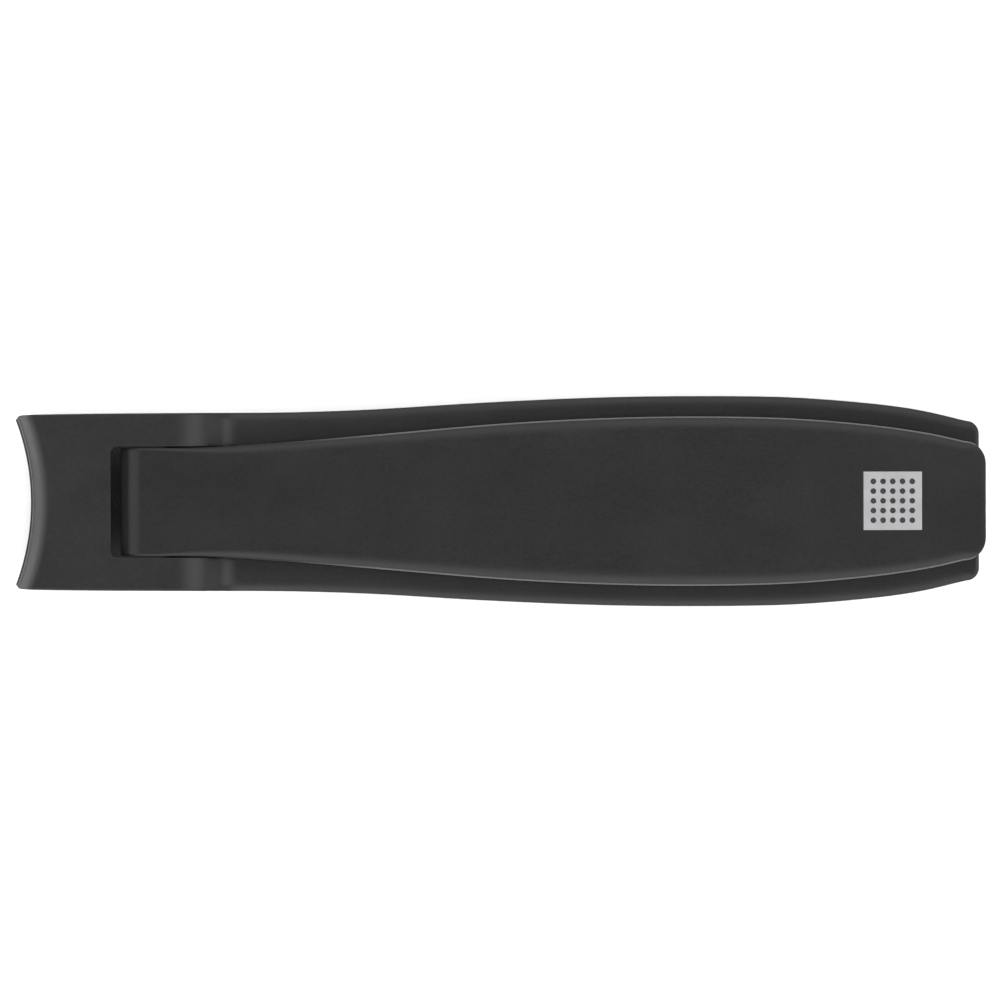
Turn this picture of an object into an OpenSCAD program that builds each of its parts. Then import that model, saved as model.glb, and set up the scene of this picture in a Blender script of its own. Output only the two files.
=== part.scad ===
// Slim fold-flat nail clipper, closed and stored flat.
// +X runs from the jaws to the free end of the lever, +Y across the width, +Z up.
// The origin is the middle of the underside's bounding box, and the clipper lies on its lower leaf.

/* [Overall] */
// Length from the jaw tips to the free end of the lever
overall_length = 60; // [58:0.5:64]
// Greatest width of the two leaves
overall_width = 13; // [12.4:0.1:14]
// Height of the folded clipper
overall_height = 6; // [5.9:0.1:6.6]

/* [Leaves] */
// Thickness of the lower leaf along the handle
lower_leaf_thickness = 1.1; // [0.9:0.05:1.3]
// Thickness of the lower leaf in the jaw
lower_jaw_thickness = 1.5; // [1.3:0.05:1.6]
// Thickness of the upper leaf along the handle
upper_leaf_thickness = 1.0; // [0.8:0.05:1.1]
// Thickness of the upper leaf in the jaw
upper_jaw_thickness = 1.45; // [1.3:0.05:1.5]
// How far the jaw's top lies below the lever's crown
jaw_top_drop = 0.1; // [0:0.05:0.2]
// Step from the jaw's top down to the handle's top
joggle_drop = 1.45; // [1.3:0.05:1.6]
// Slope of the step
joggle_angle = 32; // [30:1:36]
// Where the step begins, behind the jaw tips
joggle_start = 9.8; // [9.6:0.1:10.1]
// Height of the edges' meeting line above the underside
edge_height = 3.0; // [2.8:0.1:3.1]

/* [Cutting edge] */
// Radius of the concave cutting edge, seen from above
edge_radius = 14.4; // [13:0.2:17]
// Width of the steep ground face, seen from above
bevel_width = 0.7; // [0.4:0.05:0.8]
// Width of the softer roll above the ground face
roll_width = 0.4; // [0.3:0.05:0.6]
// Flat left on each cutting edge
edge_land = 0.05; // [0.04:0.01:0.08]
// How far the lower edge stands in front of the upper one
lower_edge_proud = 0.1; // [0.06:0.02:0.2]

/* [Lever] */
// Thickness of the lever at its crown
lever_thickness = 1.3; // [1.2:0.05:1.35]
// Gap in front of the lever's round nose
nose_gap = 0.6; // [0.54:0.02:0.7]
// Length of the lever's fall at each long side, from its crown
crown_sag = 0.15; // [0.05:0.05:0.25]
// Radius of the lever's two rear corners
lever_corner = 1.4; // [0.9:0.1:1.5]
// Distance of the bearing heel behind the pin
heel_distance = 2.6; // [2.5:0.05:2.7]
// Side of the square inlay
inlay_side = 3.6; // [3:0.1:4]
// Distance of the inlay's middle from the lever's free end
inlay_setback = 5.75; // [5:0.25:8]

/* [Pocket and yoke] */
// Distance of the pocket's front edge behind the jaw tips
pocket_start = 5.95; // [5.8:0.05:6]
// Gap beside the lever's nose in the pocket
pocket_side_gap = 0.11; // [0.09:0.01:0.19]
// Diameter of the lever pin
pin_diameter = 0.9; // [0.8:0.05:1]
// Radius of the yoke's eye
eye_radius = 0.8; // [0.75:0.05:0.85]
// Width of the yoke, across the clipper
yoke_width = 2.0; // [1.8:0.1:2.4]
// Diameter of the yoke's round foot
foot_diameter = 3.8; // [3.4:0.1:4.2]

/* [Rear end] */
// Length of the spacer between the leaves
spacer_length = 10; // [9.5:0.5:11]
// Diameter of the two rivets' shanks
rivet_diameter = 1.8; // [1.6:0.1:2]
// Diameter of the rivets' sunk heads
rivet_head = 3.2; // [2.8:0.1:3.4]
// Distance between the two rivets
rivet_pitch = 4.4; // [4:0.1:4.8]

/* [Hidden] */

$fn = 96;
eps = 0.01;
fit = 0.02;            // gap between pieces that are fixed to each other
run = 0.04;            // gap between the pin and the eye that turns on it
curve_steps = 6;       // points on each stretch of an outline
tall = 12;             // height of cutting tools that pass right through
rivet_sunk = 0.05;     // how far the rivets' heads lie below the leaves' faces

front_x = -overall_length / 2;
rear_x = overall_length / 2;
leaf_rear_x = rear_x - 0.38;
width_scale = overall_width / 13;

// heights
crown_z = overall_height;
jaw_top_z = crown_z - jaw_top_drop;
handle_top_z = jaw_top_z - joggle_drop;
handle_low_z = handle_top_z - upper_leaf_thickness;
jaw_low_z = jaw_top_z - upper_jaw_thickness;
lever_low_z = crown_z - lever_thickness;
lower_edge_z = edge_height - fit;

// lever pin
nose_x = front_x + pocket_start + nose_gap;
nose_radius = lever_thickness + 0.05;
pin_x = nose_x + nose_radius;
pin_z = crown_z - nose_radius;
pin_length = 6.4 * width_scale;

// virtual bending line of the upper leaf
flex_x = rear_x - 24;
flex_gap = 0.08;

// cutting edge: the arc's centre lies in front of the tips, where the lower edge reaches front_x
tip_half_width = 5.1 * width_scale;
lower_arc = edge_radius - lower_edge_proud;
arc_x = front_x - sqrt(pow(lower_arc, 2) - pow(tip_half_width, 2));

// pocket in the upper leaf
tongue_x = pin_x + 1.6;
tongue_half_width = 4.4;
nose_half_width = 3.31;        // of the lever, before width_scale
pocket_half_width = nose_half_width * width_scale + pocket_side_gap;
pocket_corner = 0.45;

/* ---------- curves ---------- */

// slope of the curve at station i of p = [[x, half width], ...]
function slope_at(p, i) =
    let (a = max(i - 1, 0), b = min(i + 1, len(p) - 1))
    (p[b][1] - p[a][1]) / (p[b][0] - p[a][0]);

// cubic curve from station i to the next one, at t from 0 to 1
function curve_point(p, i, t) =
    let (h = p[i + 1][0] - p[i][0], u = 1 - t)
    [p[i][0] + t * h,
     p[i][1] * (1 + 2 * t) * u * u + slope_at(p, i) * h * t * u * u
     + p[i + 1][1] * t * t * (3 - 2 * t) - slope_at(p, i + 1) * h * t * t * u];

function curve(p) = concat(
    [for (i = [0:len(p) - 2], k = [0:curve_steps - 1]) curve_point(p, i, k / curve_steps)],
    [p[len(p) - 1]]);

function arc(centre, r, from, to, steps = 8) =
    [for (k = [0:steps])
        let (a = from + (to - from) * k / steps)
        centre + r * [cos(a), sin(a)]];

// closed outline from its +Y side
function both_sides(side) =
    concat(side, [for (i = [len(side) - 1:-1:0]) [side[i][0], -side[i][1]]]);

// station given by its distance behind the jaw tips and its half width
function station(along, half) = [front_x + along * overall_length / 60, half * width_scale];

leaf_corner = 0.8;
leaf_side = curve([
    station(-0.3, 4.7), station(0, 5.1), station(0.2, 5.33), station(0.56, 5.39), station(1.6, 5.42),
    station(5.3, 5.47), station(12, 5.505), station(17, 5.54), station(22, 5.705), station(29, 6.12),
    station(36, 6.42), station(42, 6.5), station(48, 6.41), station(53, 6.02), station(56, 5.6),
    station(58.8, 4.95)]);
lever_side = curve([
    station(6, nose_half_width), station(8, 3.34), station(12.5, 3.41), station(17, 3.7), station(22, 4.12),
    station(30, 4.8), station(36, 5.12), station(42, 5.23), station(48, 5.1), station(53, 4.68),
    station(56.5, 4.17), station(58.7, 3.68)]);

leaf_outline = both_sides(concat(leaf_side,
    arc([leaf_rear_x - leaf_corner, leaf_side[len(leaf_side) - 1][1] - leaf_corner],
        leaf_corner, 80, 0)));
lever_outline = both_sides(concat(lever_side,
    arc([rear_x - lever_corner, lever_side[len(lever_side) - 1][1] - lever_corner],
        lever_corner, 80, 0)));

/* ---------- shared shapes ---------- */

module leaf_plan() {
    linear_extrude(height = tall) polygon(leaf_outline);
}

// a side profile in X and Z, drawn out across the width
module across(width) {
    rotate([90, 0, 0]) linear_extrude(height = width, center = true) children();
}

// a bar of round section across the clipper, about the lever pin's line
module pin_bar(radius, width) {
    translate([pin_x, width / 2, pin_z]) rotate([90, 0, 0]) cylinder(r = radius, h = width);
}

// a frustum about the cutting arc's centre, from height z1 to z2
module about_arc(z1, r1, z2, r2) {
    translate([arc_x, 0, z1]) cylinder(h = z2 - z1, r1 = r1, r2 = r2, $fn = 240);
}

// the two rivets, or with a gap and a mouth the holes that they sit in
module rivets(gap = 0, mouth = 0) {
    head_height = 0.5;
    z1 = rivet_sunk;
    z2 = handle_top_z - rivet_sunk;
    shank = rivet_diameter / 2 + gap;
    head = rivet_head / 2 + gap;
    for (i = [0, 1])
        translate([leaf_rear_x - 3.2 - i * rivet_pitch, 0, 0]) {
            translate([0, 0, z1 - mouth]) cylinder(r = shank, h = z2 - z1 + 2 * mouth);
            translate([0, 0, z1]) cylinder(r1 = head, r2 = shank, h = head_height);
            translate([0, 0, z2 - head_height]) cylinder(r1 = shank, r2 = head, h = head_height);
            if (mouth > 0) {
                translate([0, 0, z1 - mouth]) cylinder(r = head, h = mouth);
                translate([0, 0, z2]) cylinder(r = head, h = mouth);
            }
        }
}

/* ---------- lower leaf ---------- */

roll_height = 0.7;     // height of the softer roll beyond a ground face
inner_run = 1.85;      // run of a lip's inner face, from the edge to the plate
lip_root = 0.5;        // how deep a lip is rooted in its plate
foot_height = 0.55;
foot_recess = 0.6;

module lower_leaf_profile() {
    polygon([[front_x - 1, 0], [leaf_rear_x + 1, 0], [leaf_rear_x + 1, lower_leaf_thickness],
             [front_x + 12.6, lower_leaf_thickness], [front_x + 11.4, lower_jaw_thickness],
             [front_x - 1, lower_jaw_thickness]]);
}

module lower_leaf() {
    lip_height = lower_edge_z - lower_jaw_thickness;
    color([0.15, 0.15, 0.16])
    difference() {
        union() {
            intersection() {
                leaf_plan();
                across(20) lower_leaf_profile();
            }
            intersection() {
                leaf_plan();
                about_arc(lower_jaw_thickness - lip_root,
                          lower_arc + edge_land + inner_run * (lip_height + lip_root) / lip_height,
                          lower_edge_z, lower_arc + edge_land);
            }
        }
        about_arc(roll_height, lower_arc + bevel_width, lower_edge_z + eps, lower_arc);
        about_arc(-roll_height, lower_arc + bevel_width + 2 * roll_width,
                  roll_height + eps, lower_arc + bevel_width);
        translate([pin_x, 0, tall / 2])
            cube([2 * (eye_radius + fit), yoke_width + 2 * fit, tall + 2], center = true);
        translate([pin_x, 0, -1]) cylinder(d = foot_diameter + 0.1, h = 1 + foot_recess);
        rivets(fit, 2 * rivet_sunk);
    }
}

/* ---------- upper leaf ---------- */

convex_radius = 3.9;   // rounding at the top of the step
concave_radius = 2.2;  // hollow at its foot

// top line of the step, from the jaw down to the handle
function joggle_top() =
    let (x0 = front_x + joggle_start,
         convex_drop = convex_radius * (1 - cos(joggle_angle)),
         concave_drop = concave_radius * (1 - cos(joggle_angle)),
         run_x = (joggle_drop - convex_drop - concave_drop) / tan(joggle_angle),
         x1 = x0 + (convex_radius + concave_radius) * sin(joggle_angle) + run_x)
    concat(arc([x0, jaw_top_z - convex_radius], convex_radius, 90, 90 - joggle_angle),
           arc([x1, handle_top_z + concave_radius], concave_radius, 270 - joggle_angle, 270));

module upper_leaf_profile() {
    polygon(concat(
        [[front_x - 1, jaw_top_z]], joggle_top(),
        [[leaf_rear_x + 1, handle_top_z], [leaf_rear_x + 1, handle_low_z],
         [front_x + joggle_start + 2.6, handle_low_z], [front_x + joggle_start + 1.2, jaw_low_z],
         [front_x - 1, jaw_low_z]]));
}

module pocket_plan() {
    x0 = front_x + pocket_start;
    side = concat(arc([x0 + pocket_corner, pocket_half_width - pocket_corner], pocket_corner, 180, 90),
                  [[x0 + 9, pocket_half_width + 0.16]]);
    polygon(both_sides(side));
}

module upper_leaf_blank() {
    lip_height = jaw_low_z - edge_height;
    roll_z = jaw_top_z - roll_height;
    difference() {
        union() {
            intersection() {
                leaf_plan();
                across(20) upper_leaf_profile();
            }
            intersection() {
                leaf_plan();
                about_arc(edge_height, edge_radius + edge_land, jaw_low_z + lip_root,
                          edge_radius + edge_land + inner_run * (lip_height + lip_root) / lip_height);
            }
            // channel that carries the tongue under the lever
            across(2 * tongue_half_width) polygon([
                [tongue_x, handle_low_z], [front_x + joggle_start + 3.2, handle_low_z],
                [front_x + joggle_start + 2.4, handle_top_z - 0.1],
                [front_x + joggle_start + 1.2, jaw_low_z + 0.2], [tongue_x, jaw_low_z + 0.2]]);
        }
        about_arc(edge_height - eps, edge_radius, roll_z, edge_radius + bevel_width);
        about_arc(roll_z - eps, edge_radius + bevel_width, roll_z + 2 * roll_height,
                  edge_radius + bevel_width + 2 * roll_width);
        // pocket over the tongue, and right through in front of it
        translate([0, 0, handle_top_z]) linear_extrude(height = tall) pocket_plan();
        intersection() {
            linear_extrude(height = tall) pocket_plan();
            translate([front_x, -10, -1]) cube([tongue_x - front_x, 20, tall + 2]);
        }
        rivets(fit, 2 * rivet_sunk);
    }
}

module upper_leaf() {
    color([0.17, 0.17, 0.18])
    intersection() {
        upper_leaf_blank();
        translate([front_x - 1, -10, -1]) cube([flex_x - flex_gap / 2 - front_x + 1, 20, tall + 2]);
    }
}

module upper_leaf_root() {
    color([0.17, 0.17, 0.18])
    intersection() {
        upper_leaf_blank();
        translate([flex_x + flex_gap / 2, -10, -1]) cube([rear_x - flex_x + 1, 20, tall + 2]);
    }
}

/* ---------- rear end ---------- */

module rear_spacer() {
    inset = 0.08;
    color([0.13, 0.13, 0.14])
    difference() {
        intersection() {
            leaf_plan();
            translate([leaf_rear_x - spacer_length, -10, lower_leaf_thickness])
                cube([spacer_length - inset, 20, handle_low_z - lower_leaf_thickness]);
        }
        rivets(fit, 2 * rivet_sunk);
    }
}

module rear_rivets() {
    color([0.3, 0.3, 0.31]) rivets();
}

/* ---------- yoke ---------- */

module yoke() {
    color([0.45, 0.45, 0.46])
    difference() {
        union() {
            translate([pin_x, 0, foot_recess - foot_height]) cylinder(d = foot_diameter, h = foot_height);
            translate([pin_x - eye_radius, -yoke_width / 2, foot_recess - 0.1])
                cube([2 * eye_radius, yoke_width, pin_z - foot_recess + 0.1]);
            pin_bar(eye_radius, yoke_width);
        }
        pin_bar(pin_diameter / 2 + run, yoke_width + 2);
    }
}

/* ---------- lever ---------- */

lever_turn = 40;       // how far the lever swings up
heel_radius = 0.6;
eye_gap = 0.07;
crown_radius = (pow(5.2, 2) + pow(crown_sag, 2)) / (2 * crown_sag);
inlay_depth = 0.2;

module lever_side_profile() {
    polygon(concat(
        arc([pin_x, pin_z], nose_radius, 180, 90),
        arc([rear_x - 0.35, crown_z - 0.35], 0.35, 90, 0, 4),
        [[rear_x, lever_low_z], [pin_x, lever_low_z], [pin_x, pin_z], [nose_x, pin_z]]));
}

// the room that the yoke takes in the lever's nose as the lever swings
module yoke_sweep() {
    width = yoke_width + 2 * (fit + 0.04);
    pin_bar(eye_radius + eye_gap, width);
    for (turn = [0:10:lever_turn])
        translate([pin_x, 0, pin_z]) rotate([0, turn, 0])
            translate([-eye_radius - eye_gap, -width / 2, -4])
                cube([2 * (eye_radius + eye_gap), width, 4]);
}

module lever() {
    color([0.19, 0.19, 0.2])
    difference() {
        union() {
            intersection() {
                linear_extrude(height = tall) polygon(lever_outline);
                union() {
                    across(20) lever_side_profile();
                    pin_bar(nose_radius, 20);
                }
                translate([front_x, 0, crown_z - crown_radius]) rotate([0, 90, 0])
                    cylinder(r = crown_radius, h = overall_length + 2, $fn = 360);
            }
            // heel that bears on the tongue
            translate([pin_x + heel_distance, 2.8, handle_top_z + fit + heel_radius])
                rotate([90, 0, 0]) cylinder(r = heel_radius, h = 5.6);
        }
        yoke_sweep();
        pin_bar(pin_diameter / 2 + eps, 20);
        translate([rear_x - inlay_setback, 0, crown_z])
            cube([inlay_side + 2 * fit, inlay_side + 2 * fit, 2 * inlay_depth], center = true);
    }
}

module lever_pin() {
    color([0.62, 0.62, 0.63]) pin_bar(pin_diameter / 2, pin_length);
}

module inlay_plate() {
    color([0.78, 0.78, 0.78])
    translate([rear_x - inlay_setback, 0, crown_z - inlay_depth / 2])
        cube([inlay_side, inlay_side, inlay_depth], center = true);
}

/* ---------- assembly ---------- */

lower_leaf();
upper_leaf();
upper_leaf_root();
rear_spacer();
rear_rivets();
yoke();
lever();
lever_pin();
inlay_plate();
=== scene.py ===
import math

import bmesh
import bpy
import numpy as np
from mathutils import Matrix, Vector


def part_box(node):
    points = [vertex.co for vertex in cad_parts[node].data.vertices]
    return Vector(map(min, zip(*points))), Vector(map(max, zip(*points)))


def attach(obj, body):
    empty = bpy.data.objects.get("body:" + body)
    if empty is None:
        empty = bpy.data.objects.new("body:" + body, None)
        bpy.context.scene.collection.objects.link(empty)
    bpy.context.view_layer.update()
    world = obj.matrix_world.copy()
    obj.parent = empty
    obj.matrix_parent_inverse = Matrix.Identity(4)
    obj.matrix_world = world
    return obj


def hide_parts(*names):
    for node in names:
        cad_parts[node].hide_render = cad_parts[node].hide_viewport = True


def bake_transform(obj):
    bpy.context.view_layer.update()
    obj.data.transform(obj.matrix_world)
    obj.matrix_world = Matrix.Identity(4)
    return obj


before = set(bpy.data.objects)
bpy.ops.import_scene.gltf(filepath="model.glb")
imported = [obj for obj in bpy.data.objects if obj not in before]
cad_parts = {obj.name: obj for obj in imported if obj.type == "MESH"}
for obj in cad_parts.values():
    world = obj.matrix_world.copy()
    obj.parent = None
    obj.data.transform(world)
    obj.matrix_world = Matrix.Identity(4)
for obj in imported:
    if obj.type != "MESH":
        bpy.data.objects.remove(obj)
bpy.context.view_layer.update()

# ---------------------------------------------------------------- sizes, in millimetres
MM = 0.001


def box_mm(node):
    low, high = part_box(node)
    return np.array(low) / MM, np.array(high) / MM


LOWER, UPPER, ROOT = box_mm("lower_leaf"), box_mm("upper_leaf"), box_mm("upper_leaf_root")
LEVER, PIN, SPACER = box_mm("lever"), box_mm("lever_pin"), box_mm("rear_spacer")
YOKE, RIVETS, INLAY = box_mm("yoke"), box_mm("rear_rivets"), box_mm("inlay_plate")

FRONT_X, LEAF_REAR_X = LOWER[0][0], LOWER[1][0]
NOSE_X, REAR_X = LEVER[0][0], LEVER[1][0]
CROWN_Z = LEVER[1][2]
LEVER_LOW_Z = CROWN_Z - 1.3
JAW_TOP_Z = UPPER[1][2]
JAW_LOW_Z = JAW_TOP_Z - 1.45
HANDLE_TOP_Z, HANDLE_LOW_Z = ROOT[1][2], ROOT[0][2]
LOWER_TOP_Z = SPACER[0][2]
LOWER_JAW_Z = 1.5
UPPER_EDGE_Z, LOWER_EDGE_Z = UPPER[0][2], LOWER[1][2]
PIN_X, PIN_Z = (PIN[0][0] + PIN[1][0]) / 2, (PIN[0][2] + PIN[1][2]) / 2

# cutting edges: arcs about one centre in front of the tips
UPPER_ARC, LOWER_ARC = 14.4, 14.3
TIP_HALF = 5.1
ARC_X = -30.0 - math.sqrt(LOWER_ARC ** 2 - TIP_HALF ** 2)

# widths behind an edge, seen from above: its flat, the part worn bare, the ground face, the roll
LAND = 0.03
BARE = 0.07
BEVEL = 0.7
ROLL = 0.4
ROLL_HEIGHT = 0.7
INNER_RUN = 1.85      # run of a lip's inner face
LIP_DEPTH = 2.1       # where the curved rows end

STRAIGHT_X = -25.0    # rows of a leaf are straight from here to the rear

# steps from jaw to handle: the upper leaf's top, then where the other faces' steps begin and their run
JOGGLE_X = -20.2
JOGGLE_DROP = JAW_TOP_Z - HANDLE_TOP_Z
JOGGLE_ANGLE = math.radians(32)
CONVEX, CONCAVE = 3.9, 2.2
STEP_END_X = -16.2
UNDER_STEP_X, UNDER_STEP_RUN = -19.0, 1.8
LOWER_STEP_X, LOWER_STEP_RUN = -18.6, 1.2
RIM_STEP_X, RIM_STEP_RUN = -18.4, 2.2

# pocket in the upper leaf and the tongue that carries the lever's heel
POCKET_X, POCKET_LENGTH, POCKET_HALF, POCKET_CORNER = -24.05, 9, 3.45, 0.45
TONGUE_X = PIN_X + 1.6
TONGUE_HALF = 4.4

# lever
CROWN_HALF, CROWN_SAG = 5.2, 0.15
HEEL_DISTANCE, HEEL_RADIUS, HEEL_HALF = 2.6, 0.6, 2.8
HEEL_GAP = 0.02
SWING = math.radians(40)
EYE_ROOM, EYE_HALF = 0.87, 1.06       # room for the yoke's eye: radius and half width
BORE_RADIUS = 0.46
INLAY_DEPTH = 0.2

# holes for the yoke and the rivets
YOKE_ROOM_X, YOKE_ROOM_Y = 0.82, 1.02
FOOT_RECESS, FOOT_GAP = 0.6, 0.05
RIVET_HEAD, RIVET_GAP = 1.6, 0.03
RIVET_XS = [RIVETS[0][0] + RIVET_HEAD, RIVETS[1][0] - RIVET_HEAD]
BELOW, ABOVE = -1, 12                 # heights clear of the whole clipper

# outlines: stations of x and half width
LEAF_STATIONS = [(-30.3, 4.7), (-30, 5.1), (-29.8, 5.33), (-29.44, 5.39), (-28.4, 5.42), (-24.7, 5.47),
                 (-18, 5.505), (-13, 5.54), (-8, 5.705), (-1, 6.12), (6, 6.42), (12, 6.5), (18, 6.41),
                 (23, 6.02), (26, 5.6), (28.8, 4.95)]
LEVER_STATIONS = [(-24, 3.31), (-22, 3.34), (-17.5, 3.41), (-13, 3.7), (-8, 4.12), (0, 4.8), (6, 5.12),
                  (12, 5.23), (18, 5.1), (23, 4.68), (26.5, 4.17), (28.7, 3.68)]
LEAF_CORNER = 0.8
LEVER_CORNER = 1.4


# ---------------------------------------------------------------- curves
def smooth(t):
    t = np.clip(t, 0.0, 1.0)
    return t * t * (3 - 2 * t)


def half_width(stations, x):
    """Half width at x: a cubic through the stations with the slopes that their neighbours give."""
    px = np.array([s[0] for s in stations], float)
    py = np.array([s[1] for s in stations], float)
    before = np.maximum(np.arange(len(px)) - 1, 0)
    after = np.minimum(np.arange(len(px)) + 1, len(px) - 1)
    slope = (py[after] - py[before]) / (px[after] - px[before])
    x = np.clip(np.asarray(x, float), px[0], px[-1])
    i = np.clip(np.searchsorted(px, x, side="right") - 1, 0, len(px) - 2)
    h = px[i + 1] - px[i]
    t = (x - px[i]) / h
    u = 1 - t
    return (py[i] * (1 + 2 * t) * u * u + slope[i] * h * t * u * u
            + py[i + 1] * t * t * (3 - 2 * t) - slope[i + 1] * h * t * t * u)


def spaced(*stretches):
    """Values along joined stretches, each given as (from, to, number of steps)."""
    out = [stretches[0][0]]
    for a, b, n in stretches:
        out += [a + (b - a) * k / n for k in range(1, n + 1)]
    return np.array(out)


def rear_corner(end_x, half, radius, steps=10):
    """Rounded rear corner, from the side at end_x - radius round to the straight end."""
    a = np.linspace(80, 0, steps + 1)[1:] * math.pi / 180
    return np.stack([end_x - radius + radius * np.cos(a), half - radius + radius * np.sin(a)], 1)


def circle_drop(radius, away):
    """How far a circle falls below its top at a distance from its middle."""
    return radius - np.sqrt(np.maximum(radius ** 2 - away ** 2, 0))


def joggle_top(x):
    """Height of the upper leaf's top along the step: rounded, then straight, then hollow."""
    s, c = math.sin(JOGGLE_ANGLE), 1 - math.cos(JOGGLE_ANGLE)
    run = (JOGGLE_DROP - (CONVEX + CONCAVE) * c) / math.tan(JOGGLE_ANGLE)
    x1 = JOGGLE_X + CONVEX * s
    x2 = x1 + run
    x3 = x2 + CONCAVE * s
    x = np.asarray(x, float)
    rounded = JAW_TOP_Z - circle_drop(CONVEX, np.clip(x - JOGGLE_X, 0, CONVEX * s))
    straight = JAW_TOP_Z - CONVEX * c - (x - x1) * math.tan(JOGGLE_ANGLE)
    hollow = HANDLE_TOP_Z + circle_drop(CONCAVE, np.clip(x3 - x, 0, CONCAVE * s))
    return np.select([x < JOGGLE_X, x < x1, x < x2, x < x3], [JAW_TOP_Z, rounded, straight, hollow],
                     HANDLE_TOP_Z)


# ---------------------------------------------------------------- slab: a plate with a rolled rim
class Rim:
    """How a plate's face falls towards its outline: a soft roll, then a tight fillet down to the side.

    reach, fall: how far in the roll begins and how far it drops; fillet: radius of the tight edge.
    Each is a number for every row of the plate.
    """
    ROLL_STEPS, FILLET_STEPS, POWER = 8, 4, 2.2

    def __init__(self, reach, fall, fillet):
        self.reach, self.fall, self.fillet = (np.asarray(v, float) for v in (reach, fall, fillet))
        self.slope = np.arctan(self.POWER * self.fall / self.reach)
        self.edge = self.fillet * (1 - np.sin(self.slope))

    def rings(self):
        """(inset, drop) of each ring from the flat face outwards."""
        for k in range(self.ROLL_STEPS + 1):
            s = k / self.ROLL_STEPS
            yield self.edge + (self.reach - self.edge) * (1 - s), self.fall * s ** self.POWER
        for k in range(1, self.FILLET_STEPS + 1):
            a = self.slope + (math.pi / 2 - self.slope) * k / self.FILLET_STEPS
            yield self.fillet * (1 - np.sin(a)), self.fall + self.fillet * (np.cos(self.slope) - np.cos(a))


def slab(side, top, low, rim_top, rim_low, across=36, bend=None):
    """Closed plate, symmetric about Y = 0.

    side: outline points on the +Y side, front to rear; the last one starts the straight rear end.
    top, low: functions of (row, x, y) that give the two heights.
    bend: function of (row, x_end, y_end, y) that gives x along a row, for rows that aren't straight.
    Returns vertices, faces, the row of each face and whether it lies on the top's tight fillet.
    """
    side = np.asarray(side, float)
    rows = len(side)
    along = np.gradient(side, axis=0)
    along /= np.linalg.norm(along, axis=1)[:, None]
    normal = np.stack([-along[:, 1], along[:, 0]], 1)
    normal[-1] = (1, 0)
    share = np.linspace(1, -1, across + 1)
    row_index = np.repeat(np.arange(rows)[:, None], across + 1, axis=1)
    loop = np.array([(i, 0) for i in range(rows)]
                    + [(rows - 1, j) for j in range(1, across + 1)]
                    + [(i, across) for i in range(rows - 2, -1, -1)]
                    + [(0, j) for j in range(across - 1, 0, -1)])
    li, lj = loop[:, 0], loop[:, 1]
    following = np.roll(np.arange(len(loop)), -1)
    loop_row = np.minimum(li, li[following])
    verts, faces, face_row, on_fillet = [], [], [], []
    count = 0

    def plan(inset):
        """Plan points of every row, with the outline drawn in by an inset for each row."""
        ends = side - normal * inset[:, None]
        xs = np.repeat(ends[:, :1], across + 1, axis=1)
        ys = ends[:, 1:] * share[None, :]
        if bend is not None:
            for i in range(rows):
                xs[i] = bend(i, ends[i, 0], ends[i, 1], ys[i])
        return xs, ys

    def add_verts(points):
        nonlocal count
        verts.append(points)
        count += len(points)
        return count - len(points)

    outer_rings = []
    for height, rim, sign in ((top, rim_top, 1), (low, rim_low, -1)):
        previous = None
        for step, (inset, drop) in enumerate(rim.rings()):
            xs, ys = plan(inset)
            zs = height(row_index, xs, ys) - sign * np.broadcast_to(drop, (rows,))[:, None]
            if previous is None:
                first = add_verts(np.stack([xs, ys, zs], -1).reshape(-1, 3))
                a = (first + np.arange(rows - 1)[:, None] * (across + 1) + np.arange(across)[None, :]).ravel()
                quads = np.stack([a, a + across + 1, a + across + 2, a + 1], 1)
                faces.append(quads[:, ::-1] if sign > 0 else quads)
                face_row.append(np.repeat(np.arange(rows - 1), across))
                on_fillet.append(np.zeros(len(quads), bool))
                previous = first + li * (across + 1) + lj
            else:
                first = add_verts(np.stack([xs[li, lj], ys[li, lj], zs[li, lj]], -1))
                ids = first + np.arange(len(loop))
                quads = np.stack([previous, ids, ids[following], previous[following]], 1)
                faces.append(quads if sign > 0 else quads[:, ::-1])
                face_row.append(loop_row)
                on_fillet.append(np.full(len(quads), sign > 0 and step > Rim.ROLL_STEPS))
                previous = ids
        outer_rings.append(previous)
    upper, lower = outer_rings
    faces.append(np.stack([upper, lower, lower[following], upper[following]], 1))
    face_row.append(loop_row)
    on_fillet.append(np.zeros(len(loop), bool))
    return np.concatenate(verts), np.concatenate(faces), np.concatenate(face_row), np.concatenate(on_fillet)


def mesh_object(name, verts, faces, materials, face_material=None):
    """Object from vertices in millimetres, still in millimetres until finished() scales it."""
    mesh = bpy.data.meshes.new(name)
    mesh.from_pydata([tuple(map(float, v)) for v in verts], [], [tuple(int(i) for i in f) for f in faces])
    for m in materials:
        mesh.materials.append(m)
    if face_material is not None:
        mesh.polygons.foreach_set("material_index", np.asarray(face_material, np.int32))
    tidy = bmesh.new()
    tidy.from_mesh(mesh)
    bmesh.ops.remove_doubles(tidy, verts=tidy.verts, dist=0.0005)
    bmesh.ops.dissolve_degenerate(tidy, edges=tidy.edges, dist=0.0004)
    bmesh.ops.recalc_face_normals(tidy, faces=tidy.faces)
    tidy.to_mesh(mesh)
    tidy.free()
    piece = bpy.data.objects.new(name, mesh)
    bpy.context.scene.collection.objects.link(piece)
    return piece


def apply_modifiers(piece):
    graph = bpy.context.evaluated_depsgraph_get()
    graph.update()
    final = bpy.data.meshes.new_from_object(piece.evaluated_get(graph))
    piece.modifiers.clear()
    piece.data = final


def carve(piece, cutter, operation="DIFFERENCE"):
    change = piece.modifiers.new("carve", "BOOLEAN")
    change.operation = operation
    change.solver = "EXACT"
    change.object = cutter
    apply_modifiers(piece)
    bpy.data.objects.remove(cutter)


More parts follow.
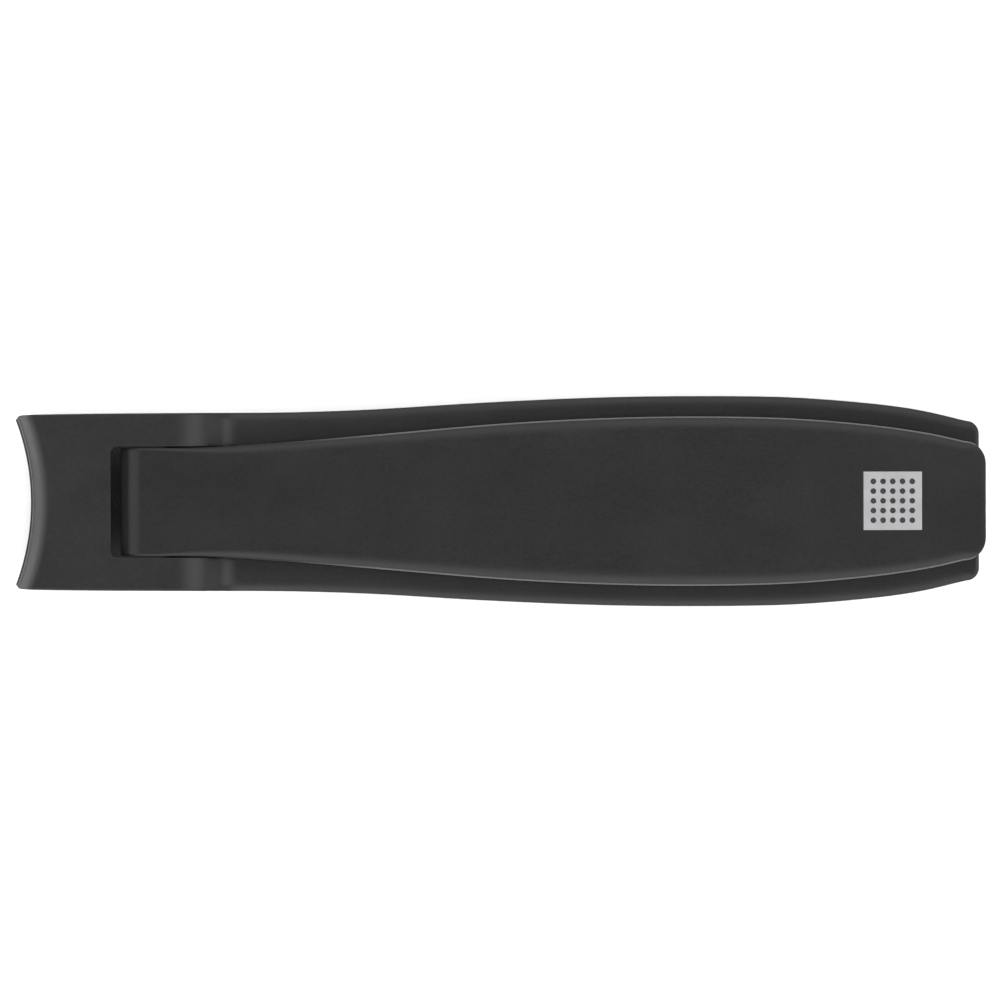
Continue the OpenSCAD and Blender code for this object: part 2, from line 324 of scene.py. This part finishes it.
def soften_edges(piece, width, angle):
    soften = piece.modifiers.new("soften", "BEVEL")
    soften.width = width
    soften.segments = 2
    soften.limit_method = "ANGLE"
    soften.angle_limit = math.radians(angle)


def finished(piece, body, nodes, edge=0.0):
    """Softens the remaining sharp edges, scales to metres and hands the piece to the frame."""
    if edge:
        soften_edges(piece, edge, 50)
        apply_modifiers(piece)
    piece.data.transform(Matrix.Scale(MM, 4))
    piece.data.shade_smooth()
    piece.data.set_sharp_from_angle(angle=math.radians(35))
    if body:
        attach(piece, body)
    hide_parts(*nodes)
    return piece


def prism(points, z0, z1):
    """Upright prism on a plan outline, from z0 to z1."""
    n = len(points)
    verts = [(p[0], p[1], z0) for p in points] + [(p[0], p[1], z1) for p in points]
    faces = [list(range(n))[::-1], list(range(n, 2 * n))]
    faces += [[i, (i + 1) % n, n + (i + 1) % n, n + i] for i in range(n)]
    return mesh_object("cutter", verts, faces, [])


def across_bar(outline, half):
    """A bar across the clipper whose section is an outline in X and Z."""
    n = len(outline)
    verts = [(x, -half, z) for x, z in outline] + [(x, half, z) for x, z in outline]
    faces = [list(range(n)), list(range(n, 2 * n))[::-1]]
    faces += [[(i + 1) % n, i, n + i, n + (i + 1) % n] for i in range(n)]
    return mesh_object("bar", verts, faces, [])


def round_plan(x, y, radius, steps=48):
    """Plan outline of a round hole."""
    return [(x + radius * math.cos(2 * math.pi * k / steps), y + radius * math.sin(2 * math.pi * k / steps))
            for k in range(steps)]


def block_plan(x0, x1, half, corner=0.0, steps=6):
    """Plan outline of a block about Y = 0, with square or rounded corners."""
    if not corner:
        return [(x0, -half), (x1, -half), (x1, half), (x0, half)]
    out = []
    for cx, cy, start in ((x1 - corner, half - corner, 0), (x0 + corner, half - corner, 90),
                          (x0 + corner, corner - half, 180), (x1 - corner, corner - half, 270)):
        for k in range(steps + 1):
            a = math.radians(start + 90 * k / steps)
            out.append((cx + corner * math.cos(a), cy + corner * math.sin(a)))
    return out


# ---------------------------------------------------------------- materials
class Nodes:
    """Small helper that adds nodes to a material and links them."""

    def __init__(self, name):
        self.material = bpy.data.materials.new(name)
        self.material.use_nodes = True
        self.tree = self.material.node_tree
        self.shader = self.tree.nodes["Principled BSDF"]
        self.place = self.add("ShaderNodeTexCoord").outputs["Object"]

    def add(self, kind, inputs=None, **settings):
        node = self.tree.nodes.new(kind)
        for key, value in settings.items():
            setattr(node, key, value)
        for key, value in (inputs or {}).items():
            if isinstance(value, bpy.types.NodeSocket):
                self.tree.links.new(value, node.inputs[key])
            else:
                node.inputs[key].default_value = value
        return node

    def math(self, operation, a, b):
        return self.add("ShaderNodeMath", {0: a, 1: b}, operation=operation).outputs[0]

    def noise(self, size_mm, stretch=(1, 1, 1), detail=3.0, rough=0.55):
        """Noise from 0 to 1 whose features are about size_mm across, longer where stretch is above 1."""
        scale = tuple(1 / (size_mm * MM * s) for s in stretch)
        placed = self.add("ShaderNodeMapping", {"Vector": self.place, "Scale": scale}, vector_type="POINT")
        inputs = {"Vector": placed.outputs[0], "Scale": 1.0, "Detail": detail, "Roughness": rough}
        return self.add("ShaderNodeTexNoise", inputs).outputs["Fac"]

    def ranged(self, value, from_low, from_high, to_low, to_high):
        inputs = {"Value": value, "From Min": from_low, "From Max": from_high, "To Min": to_low,
                  "To Max": to_high}
        return self.add("ShaderNodeMapRange", inputs).outputs["Result"]

    def mix(self, share, a, b):
        node = self.add("ShaderNodeMix", data_type="RGBA")
        for socket, value in ((node.inputs[0], share), (node.inputs[6], a), (node.inputs[7], b)):
            if isinstance(value, bpy.types.NodeSocket):
                self.tree.links.new(value, socket)
            else:
                socket.default_value = value
        return node.outputs[2]

    def edges(self, radius_mm):
        """0 on open faces, towards 1 on edges tighter than the radius."""
        rounded = self.add("ShaderNodeBevel", {"Radius": radius_mm * MM}, samples=4).outputs[0]
        flat = self.add("ShaderNodeNewGeometry").outputs["Normal"]
        agree = self.add("ShaderNodeVectorMath", {0: rounded, 1: flat}, operation="DOT_PRODUCT")
        return self.ranged(agree.outputs["Value"], 0.995, 0.8, 0.0, 1.0)

    def tinted(self, value, blue):
        """Grey of a computed brightness, with its blue share a little apart."""
        return self.add("ShaderNodeCombineColor",
                        {0: value, 1: value, 2: self.math("MULTIPLY", value, blue)}).outputs[0]

    def bump(self, height, distance_mm, strength):
        node = self.add("ShaderNodeBump",
                        {"Height": height, "Distance": distance_mm * MM, "Strength": strength})
        self.tree.links.new(node.outputs[0], self.shader.inputs["Normal"])

    def set(self, **values):
        for key, value in values.items():
            socket = self.shader.inputs[key.replace("_", " ")]
            if isinstance(value, bpy.types.NodeSocket):
                self.tree.links.new(value, socket)
            else:
                socket.default_value = value


def grey(value):
    return (value, value, value * 1.03, 1)


GRAIN_SIZE, GRAIN_CONTRAST = 0.13, 0.36
MOTTLE_SIZE = 3.5


def coated_metal(name, tone, roughness=0.42, grain_stretch=(1, 1, 1), edge_abrasion_and_highlight_share=0.5, gloss=0.22, fade=None):
    """Matte black coating over steel: fine blasted grain, faint mottling and a lighter, smoother edge,
    lighter partly from abrasion and partly as a painted highlight.

    fade: (tone, gloss, x0, x1), where the look starts from that tone and gloss at x0 and is full at x1.
    """
    n = Nodes(name)
    grain = n.noise(GRAIN_SIZE, grain_stretch, detail=4)
    mottle = n.noise(MOTTLE_SIZE, (1.6, 1, 1), detail=3)
    # edges painted lighter through the bevel mask and broken up by noise: partly wear, partly a painted
    # highlight along the edges
    edge_abrasion_and_highlight = n.math("MULTIPLY", n.edges(0.07), n.ranged(n.noise(0.9), 0.35, 0.7, 0.25, 1.0))
    shade = n.math("ADD", n.ranged(grain, 0.2, 0.8, -GRAIN_CONTRAST, GRAIN_CONTRAST),
                   n.ranged(mottle, 0.3, 0.7, -0.08, 0.08))
    edge_abrasion_and_highlight_tone = tone * 6
    if fade:
        along = n.add("ShaderNodeSeparateXYZ", {0: n.place}).outputs[0]
        x0, x1 = fade[2] * MM, fade[3] * MM
        tone, gloss = n.ranged(along, x0, x1, fade[0], tone), n.ranged(along, x0, x1, fade[1], gloss)
    plain = n.tinted(n.math("MULTIPLY", n.math("ADD", shade, 1.0), tone), 1.03)
    n.set(Base_Color=n.mix(n.math("MULTIPLY", edge_abrasion_and_highlight, edge_abrasion_and_highlight_share), plain, grey(edge_abrasion_and_highlight_tone)),
          Roughness=n.math("ADD", n.ranged(mottle, 0.3, 0.7, roughness - 0.03, roughness + 0.03),
                           n.ranged(grain, 0.2, 0.8, -0.05, 0.05)),
          Specular_IOR_Level=gloss)
    n.bump(grain, 0.003, 0.5)
    return n.material


def ground_metal(name, tone, roughness=0.3, grain_stretch=(1, 1, 1), metallic=0.6):
    """Ground steel, with fine scratches along the direction that the stretch gives."""
    n = Nodes(name)
    lines = n.noise(0.05, grain_stretch, detail=4, rough=0.7)
    cloud = n.noise(1.2, detail=2)
    shade = n.math("MULTIPLY", n.math("ADD", n.ranged(lines, 0.25, 0.75, -0.16, 0.16),
                                      n.ranged(cloud, 0.3, 0.7, 0.94, 1.06)), tone)
    # edges painted lighter through the bevel mask: partly wear, partly a painted highlight along the edges
    edge_abrasion_and_highlight = n.math("MULTIPLY", n.edges(0.05), 0.4)
    plain = n.tinted(shade, 1.02)
    n.set(Base_Color=n.mix(edge_abrasion_and_highlight, plain, grey(min(1.0, tone * 1.8))), Metallic=metallic,
          Roughness=n.ranged(lines, 0.25, 0.75, roughness - 0.06, roughness + 0.08))
    n.bump(lines, 0.002, 0.4)
    return n.material


LEAF = coated_metal("leaf_black", 0.0094, gloss=0.2)
# lighter coat for the lower leaf's inner faces: painted light that brightens the shaded gap under the pocket
LEAF_INSIDE_PAINTED_LIGHT = coated_metal("leaf_inside_painted_light", 0.03, gloss=0.22)
# the lever's coat starts lighter at the nose and fades to its own tone 0.45 mm behind it: painted light over
# the shaded nose front
LEVER_COAT_PAINTED_NOSE_LIGHT = coated_metal("lever_black", 0.0075, roughness=0.4, gloss=0.2, grain_stretch=(1.6, 1, 1),
                          fade=(0.024, 0.2, NOSE_X, NOSE_X + 0.45))
SPACER_COAT = coated_metal("spacer_black", 0.006, roughness=0.5)
# lighter coat on the lever's long edge fillets, fading in towards the tail: a painted highlight
LEVER_EDGE_PAINTED_HIGHLIGHT = coated_metal("lever_edge_painted_highlight", 0.055, roughness=0.36, gloss=0.35, fade=(0.0075, 0.2, -13.0, -7.0))
RIVET_COAT = coated_metal("rivet_black", 0.02, roughness=0.35, edge_abrasion_and_highlight_share=0.8)
GROUND_EDGE = coated_metal("ground_edge", 0.0095, roughness=0.42, grain_stretch=(1, 1, 6), edge_abrasion_and_highlight_share=0.3,
                           gloss=0.105)
BARE_EDGE = ground_metal("bare_edge", 0.09, roughness=0.35, grain_stretch=(1, 1, 6), metallic=0.7)
YOKE_STEEL = ground_metal("yoke_steel", 0.3, grain_stretch=(1, 1, 8), metallic=1.0)
PIN_STEEL = ground_metal("pin_steel", 0.42, grain_stretch=(1, 10, 1), metallic=1.0)
INLAY_SATIN = ground_metal("inlay_grey", 0.235, roughness=0.42, metallic=0.2)
INLAY_PIT = coated_metal("inlay_pit", 0.02, roughness=0.5, edge_abrasion_and_highlight_share=0.0)


# ---------------------------------------------------------------- the two leaves
class LeafRows:
    """Rows of a leaf: arcs about the cutting edge's centre at the front, straight lines behind."""

    def __init__(self, edge_arc):
        depth = spaced((0, LAND, 1), (LAND, BARE, 1), (BARE, BEVEL, 5), (BEVEL, BEVEL + ROLL, 9),
                       (BEVEL + ROLL, LAND + INNER_RUN, 4), (LAND + INNER_RUN, LIP_DEPTH, 2))
        ends = []
        for d in depth:
            x = FRONT_X
            for _ in range(30):
                x = ARC_X + math.sqrt((edge_arc + d) ** 2 - half_width(LEAF_STATIONS, x) ** 2)
            ends.append((x, float(half_width(LEAF_STATIONS, x))))
        last = ends[-1][0]
        xs = spaced((last, STRAIGHT_X, 14), (STRAIGHT_X, JOGGLE_X, 16), (JOGGLE_X, STEP_END_X, 60),
                    (STEP_END_X, 6, 50), (6, LEAF_REAR_X - LEAF_CORNER, 44))[1:]
        widths = half_width(LEAF_STATIONS, xs)
        corner = rear_corner(LEAF_REAR_X, widths[-1], LEAF_CORNER)
        self.side = np.concatenate([np.array(ends), np.stack([xs, widths], 1), corner])
        self.depth = np.concatenate([depth, np.full(len(xs) + len(corner), 99.0)])
        self.straight = np.concatenate([np.zeros(len(depth)), smooth((xs - last) / (STRAIGHT_X - last)),
                                        np.ones(len(corner))])

    def bend(self, row, x_end, y_end, y):
        """X along a row: on the arc at the front, straightening towards the handle."""
        radius = math.hypot(x_end - ARC_X, y_end)
        arc = ARC_X + np.sqrt(np.maximum(radius ** 2 - y ** 2, 0))
        return x_end + (arc - x_end) * (1 - self.straight[row])

    def outer(self, row):
        """Share of the height from the cutting edge to the flat face: the ground face, then the roll."""
        d = self.depth[row]
        roll = np.clip((d - BEVEL) / ROLL, 0, 1)
        return np.clip(d / BEVEL, 0, 1), roll * (1 + 0.35 * (1 - roll))

    def finish(self, face_row):
        """Material of each face: abraded bare at the very edge, ground up to the roll's end, coated behind.
        """
        d = self.depth[face_row] + 1e-6
        return np.where(d < BARE, 2, np.where(d < BEVEL + ROLL, 1, 0))

    def inner(self, row):
        """Share of a lip's inner face, from the cutting edge to the plate."""
        return np.clip((self.depth[row] - LAND) / INNER_RUN, 0, 1)

    def rim(self, thickness, handle_reach, handle_fall, handle_fillet):
        """Crisp along the jaw, rolled along the handle, and shrinking with the thickness at the edge."""
        x = self.side[:, 0]
        handle = smooth((x - RIM_STEP_X) / RIM_STEP_RUN)
        end = 1 - 0.6 * smooth((x - (LEAF_REAR_X - LEAF_CORNER)) / LEAF_CORNER)
        thin = np.clip(thickness, 0.03, 1)
        reach = (0.16 + (handle_reach - 0.16) * handle) * end * thin
        fall = (0.02 + (handle_fall - 0.02) * handle) * end * thin
        fillet = (0.06 + (handle_fillet - 0.06) * handle) * thin
        return Rim(reach, fall, fillet)


# (reach, fall, fillet) of a leaf's rim along the handle, on its outer and its inner face
OUTER_RIM, INNER_RIM = (0.7, 0.14, 0.06), (0.4, 0.12, 0.08)


def make_upper_leaf():
    rows = LeafRows(UPPER_ARC)

    def top(row, x, y):
        steep, roll = rows.outer(row)
        start = UPPER_EDGE_Z + LAND
        jaw = start + (JAW_TOP_Z - ROLL_HEIGHT - start) * steep + ROLL_HEIGHT * roll
        return np.where(rows.depth[row] < BEVEL + ROLL, jaw, joggle_top(x))

    def low(row, x, y):
        jaw = UPPER_EDGE_Z + (JAW_LOW_Z - UPPER_EDGE_Z) * rows.inner(row)
        return jaw + (HANDLE_LOW_Z - JAW_LOW_Z) * smooth((x - UNDER_STEP_X) / UNDER_STEP_RUN)

    index = np.arange(len(rows.side))
    x, y = rows.side[:, 0], rows.side[:, 1]
    thickness = top(index, x, y) - low(index, x, y)
    verts, faces, face_row, _ = slab(rows.side, top, low, rows.rim(thickness, *OUTER_RIM),
                                     rows.rim(thickness, *INNER_RIM), across=40, bend=rows.bend)
    leaf = mesh_object("upper_leaf_strip", verts, faces, [LEAF, GROUND_EDGE, BARE_EDGE],
                       rows.finish(face_row))
    tongue = [(TONGUE_X, HANDLE_LOW_Z + 0.01), (JOGGLE_X + 3.2, HANDLE_LOW_Z + 0.01),
              (JOGGLE_X + 2.4, HANDLE_TOP_Z - 0.1), (JOGGLE_X + 1.2, JAW_LOW_Z + 0.2),
              (TONGUE_X, JAW_LOW_Z + 0.2)]
    carve(leaf, across_bar(tongue, TONGUE_HALF), "UNION")
    over_tongue = block_plan(POCKET_X, POCKET_X + POCKET_LENGTH, POCKET_HALF, POCKET_CORNER)
    carve(leaf, prism(over_tongue, HANDLE_TOP_Z + 0.006, ABOVE))
    right_through = block_plan(POCKET_X, TONGUE_X, POCKET_HALF, POCKET_CORNER)
    carve(leaf, prism(right_through, BELOW, ABOVE))
    for x in RIVET_XS:
        carve(leaf, prism(round_plan(x, 0, RIVET_HEAD + RIVET_GAP), HANDLE_TOP_Z - 0.45, ABOVE))
    return leaf


def make_lower_leaf():
    rows = LeafRows(LOWER_ARC)

    def top(row, x, y):
        jaw = LOWER_EDGE_Z + (LOWER_JAW_Z - LOWER_EDGE_Z) * rows.inner(row)
        return jaw + (LOWER_TOP_Z - LOWER_JAW_Z) * smooth((x - LOWER_STEP_X) / LOWER_STEP_RUN)

    def low(row, x, y):
        steep, roll = rows.outer(row)
        start = LOWER_EDGE_Z - LAND
        return np.where(rows.depth[row] < BEVEL + ROLL,
                        start - (start - ROLL_HEIGHT) * steep - ROLL_HEIGHT * roll, 0.0)

    index = np.arange(len(rows.side))
    x, y = rows.side[:, 0], rows.side[:, 1]
    thickness = top(index, x, y) - low(index, x, y)
    verts, faces, face_row, _ = slab(rows.side, top, low, rows.rim(thickness, *INNER_RIM),
                                     rows.rim(thickness, *OUTER_RIM), across=40, bend=rows.bend)
    kinds = rows.finish(face_row)
    # the lower leaf's inner faces get the lighter coat: painted light in the gap under the pocket
    painted_light_faces = verts[faces][:, :, 2].min(axis=1) > LOWER_TOP_Z - 0.3
    kinds[painted_light_faces & (kinds == 0)] = 3
    leaf = mesh_object("lower_leaf_strip", verts, faces, [LEAF, GROUND_EDGE, BARE_EDGE, LEAF_INSIDE_PAINTED_LIGHT], kinds)
    foot_radius = (YOKE[1][0] - YOKE[0][0]) / 2
    carve(leaf, prism(round_plan(PIN_X, 0, foot_radius + FOOT_GAP), BELOW, FOOT_RECESS))
    carve(leaf, prism(block_plan(PIN_X - YOKE_ROOM_X, PIN_X + YOKE_ROOM_X, YOKE_ROOM_Y), 0.3, 6))
    for x in RIVET_XS:
        carve(leaf, prism(round_plan(x, 0, RIVET_HEAD + RIVET_GAP), BELOW, 0.5))
    return leaf


# ---------------------------------------------------------------- lever
def make_lever():
    nose = PIN_X - NOSE_X
    heel_x, heel_z = PIN_X + HEEL_DISTANCE, HANDLE_TOP_Z + HEEL_GAP + HEEL_RADIUS
    crown_radius = (CROWN_HALF ** 2 + CROWN_SAG ** 2) / (2 * CROWN_SAG)
    behind = spaced((PIN_X + nose, -18.6, 26), (-18.6, 0, 44), (0, REAR_X - LEVER_CORNER, 60))
    xs = np.concatenate([PIN_X - nose * np.cos(np.linspace(0.03, math.pi, 37)), behind[1:]])
    widths = half_width(LEVER_STATIONS, xs)
    side = np.concatenate([np.stack([xs, widths], 1), rear_corner(REAR_X, widths[-1], LEVER_CORNER)])

    def top(row, x, y):
        return CROWN_Z - circle_drop(nose, np.clip(PIN_X - x, 0, nose)) - y ** 2 / (2 * crown_radius)

    def low(row, x, y):
        plate = np.full_like(x, LEVER_LOW_Z)
        barrel = PIN_Z - nose + circle_drop(nose, x - PIN_X)
        heel = np.where((np.abs(x - heel_x) < HEEL_RADIUS) & (np.abs(y) < HEEL_HALF),
                        heel_z - HEEL_RADIUS + circle_drop(HEEL_RADIUS, x - heel_x), ABOVE)
        return np.minimum(np.where(x < PIN_X + nose, barrel, plate), heel)

    index = np.arange(len(side))
    thickness = top(index, side[:, 0], side[:, 1]) - low(index, side[:, 0], side[:, 1])
    thin = np.clip(thickness / 1.2, 0.03, 1)
    end = smooth((side[:, 0] - (REAR_X - LEVER_CORNER)) / LEVER_CORNER)
    reach = np.interp(side[:, 0], (-23, -21, -18.5, -15.4, -6, 4, 18, 25),
                      (0.14, 0.22, 0.45, 0.7, 0.9, 1.02, 0.9, 0.78))
    rim_top = Rim(reach * (1 - 0.5 * end) * thin, 0.17 * reach * (1 - 0.85 * end) * thin,
                  np.minimum(0.15, 0.3 * reach) * (1 - 0.7 * end) * thin)
    rim_low = Rim(0.2 * thin, 0.03 * thin, 0.08 * thin)
    verts, faces, face_row, on_fillet = slab(side, top, low, rim_top, rim_low, across=44)
    # faces of the lever's top fillet along its sides, behind x = -14 and clear of the rear end, that carry
    # the painted edge highlight
    painted_highlight_faces = on_fillet & (end[face_row] < 0.5) & (side[face_row, 0] > -14)
    lever = mesh_object("lever_plate", verts, faces, [LEVER_COAT_PAINTED_NOSE_LIGHT, LEVER_EDGE_PAINTED_HIGHLIGHT], painted_highlight_faces.astype(int))

    # room that the yoke takes as the lever swings: a round top with two straight sides below it
    room = [(PIN_X + EYE_ROOM * math.cos(a), PIN_Z + EYE_ROOM * math.sin(a))
            for a in np.linspace(0, math.pi - SWING, 25)]
    room.append((room[-1][0] - 4 * math.sin(SWING), room[-1][1] - 4 * math.cos(SWING)))
    room.append((PIN_X + EYE_ROOM, PIN_Z - 4))
    carve(lever, across_bar(room, EYE_HALF))
    bore = [(PIN_X + BORE_RADIUS * math.cos(a), PIN_Z + BORE_RADIUS * math.sin(a))
            for a in np.linspace(0, 2 * math.pi, 41)[:-1]]
    carve(lever, across_bar(bore, 6))
    middle_x, half = (INLAY[0][0] + INLAY[1][0]) / 2, (INLAY[1][0] - INLAY[0][0]) / 2 + 0.02
    carve(lever, prism(block_plan(middle_x - half, middle_x + half, half), CROWN_Z - INLAY_DEPTH, ABOVE))
    return lever


# ---------------------------------------------------------------- small pieces
def make_inlay():
    """Square plate with a five by five grid of sunk dots, a plain pattern of its own."""
    low, high = INLAY
    cells, around, border = 5, 24, 0.3
    pitch = (high[0] - low[0] - 2 * border) / cells
    dot = pitch * 0.3
    top = high[2] - 0.012
    floor = top - 0.05
    verts, faces, kinds = [], [], []

    def point(x, y, z):
        verts.append((x, y, z))
        return len(verts) - 1

    def add(face, kind=0):
        faces.append(face)
        kinds.append(kind)

    for i in range(cells):
        for j in range(cells):
            cx = low[0] + border + pitch * (i + 0.5)
            cy = low[1] + border + pitch * (j + 0.5)
            rings = [[], [], []]
            for k in range(around):
                a = 2 * math.pi * k / around
                c, s = math.cos(a), math.sin(a)
                reach = pitch / 2 / max(abs(c), abs(s))
                rings[0].append(point(cx + reach * c, cy + reach * s, top))
                rings[1].append(point(cx + dot * c, cy + dot * s, top))
                rings[2].append(point(cx + (dot - 0.02) * c, cy + (dot - 0.02) * s, floor))
            for k in range(around):
                m = (k + 1) % around
                add([rings[0][k], rings[1][k], rings[1][m], rings[0][m]])
                add([rings[1][k], rings[2][k], rings[2][m], rings[1][m]], 1)
            add(list(rings[2]), 1)
    frame_x = [low[0], low[0] + border, high[0] - border, high[0]]
    frame_y = [low[1], low[1] + border, high[1] - border, high[1]]
    for i in range(3):
        for j in range(3):
            if (i, j) != (1, 1):
                add([point(frame_x[i + a], frame_y[j + b], top)
                     for a, b in ((0, 0), (1, 0), (1, 1), (0, 1))])
    corners = [(low[0], low[1]), (high[0], low[1]), (high[0], high[1]), (low[0], high[1])]
    for k in range(4):
        (xa, ya), (xb, yb) = corners[k], corners[(k + 1) % 4]
        add([point(xa, ya, low[2]), point(xb, yb, low[2]), point(xb, yb, top), point(xa, ya, top)])
    add([point(x, y, low[2]) for x, y in corners[::-1]])
    return mesh_object("inlay_tile", verts, faces, [INLAY_SATIN, INLAY_PIT], kinds)


def make_spacer():
    xs = spaced((SPACER[0][0], LEAF_REAR_X - LEAF_CORNER, 24))
    widths = half_width(LEAF_STATIONS, xs) - 0.06
    side = np.concatenate([np.stack([xs, widths], 1), rear_corner(SPACER[1][0], widths[-1], LEAF_CORNER)])
    rim = Rim(np.full(len(side), 0.1), np.full(len(side), 0.02), np.full(len(side), 0.05))
    verts, faces, _, _ = slab(side, lambda row, x, y: np.full_like(x, SPACER[1][2]),
                              lambda row, x, y: np.full_like(x, SPACER[0][2]), rim, rim, across=12)
    return mesh_object("spacer_block", verts, faces, [SPACER_COAT])


# ---------------------------------------------------------------- the clipper
upper_leaf = finished(make_upper_leaf(), None, ["upper_leaf", "upper_leaf_root"],
                      edge=0.04)
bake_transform(upper_leaf)
finished(make_lower_leaf(), "body", ["lower_leaf"], edge=0.04)
finished(make_lever(), "lever", ["lever"], edge=0.04)
finished(make_spacer(), "body", ["rear_spacer"])
finished(make_inlay(), "lever", ["inlay_plate"])

for node, material in (("yoke", YOKE_STEEL), ("lever_pin", PIN_STEEL), ("rear_rivets", RIVET_COAT)):
    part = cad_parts[node]
    for material_slot in part.material_slots:
        material_slot.material = material
    soften_edges(part, 0.05 * MM, 40)


# ---------------------------------------------------------------- stage, light and camera
def make_floor():
    mesh = bpy.data.meshes.new("floor")
    reach = 3.0
    mesh.from_pydata([(-reach, -reach, 0), (reach, -reach, 0), (reach, reach, 0), (-reach, reach, 0)], [],
                     [(0, 1, 2, 3)])
    n = Nodes("floor_white")
    cloud = n.noise(30, detail=2)
    n.set(Base_Color=n.mix(cloud, (0.9, 0.9, 0.9, 1), (0.915, 0.915, 0.915, 1)), Roughness=0.9,
          Specular_IOR_Level=0.1)
    mesh.materials.append(n.material)
    floor = bpy.data.objects.new("floor", mesh)
    bpy.context.scene.collection.objects.link(floor)


def make_world():
    """Studio surroundings: bright low down, dimmer overhead."""
    world = bpy.data.worlds.new("studio")
    bpy.context.scene.world = world
    world.use_nodes = True
    tree = world.node_tree
    place = tree.nodes.new("ShaderNodeTexCoord")
    split = tree.nodes.new("ShaderNodeSeparateXYZ")
    ramp = tree.nodes.new("ShaderNodeValToRGB")
    tree.links.new(place.outputs["Generated"], split.inputs[0])
    tree.links.new(split.outputs["Z"], ramp.inputs[0])
    tree.links.new(ramp.outputs[0], tree.nodes["Background"].inputs[0])
    for element, (at, value) in zip(ramp.color_ramp.elements, ((0.12, 1.0), (1.0, 0.285))):
        element.position = at
        element.color = (value, value, value, 1)
    tree.nodes["Background"].inputs[1].default_value = WORLD_STRENGTH


def softbox(name, direction, distance, size, power):
    lamp = bpy.data.lights.new(name, "AREA")
    lamp.shape = "RECTANGLE"
    lamp.size, lamp.size_y = size
    lamp.energy = power
    holder = bpy.data.objects.new(name, lamp)
    bpy.context.scene.collection.objects.link(holder)
    towards = Vector(direction).normalized()
    holder.location = towards * distance
    holder.rotation_euler = (-towards).to_track_quat("-Z", "Y").to_euler()


def make_camera():
    """Straight above, the clipper's length across the picture."""
    view_width = 61.84 * MM
    camera = bpy.data.cameras.new("camera")
    camera.lens = 500
    camera.sensor_width = 36
    camera.clip_start, camera.clip_end = 0.05, 20
    holder = bpy.data.objects.new("camera", camera)
    bpy.context.scene.collection.objects.link(holder)
    holder.location = (0.0, 0.09 * MM, view_width * camera.lens / camera.sensor_width + 4.5 * MM)
    holder.rotation_euler = (0, 0, math.radians(-0.1))
    bpy.context.scene.camera = holder


WORLD_STRENGTH = 1.22
make_floor()
make_world()
make_camera()
softbox("front_light", (0, -1, 1.1), 0.9, (1.0, 0.5), 7.2)
softbox("back_light", (0, 1, 1.3), 0.9, (1.0, 0.4), 4.5)
softbox("jaw_light", (-1, 0, 0.97), 0.9, (0.5, 0.9), 3.2)
softbox("tip_light", (1, 0, 1.28), 0.9, (0.4, 0.52), 3.9)
bpy.context.scene.view_settings.view_transform = "Standard"
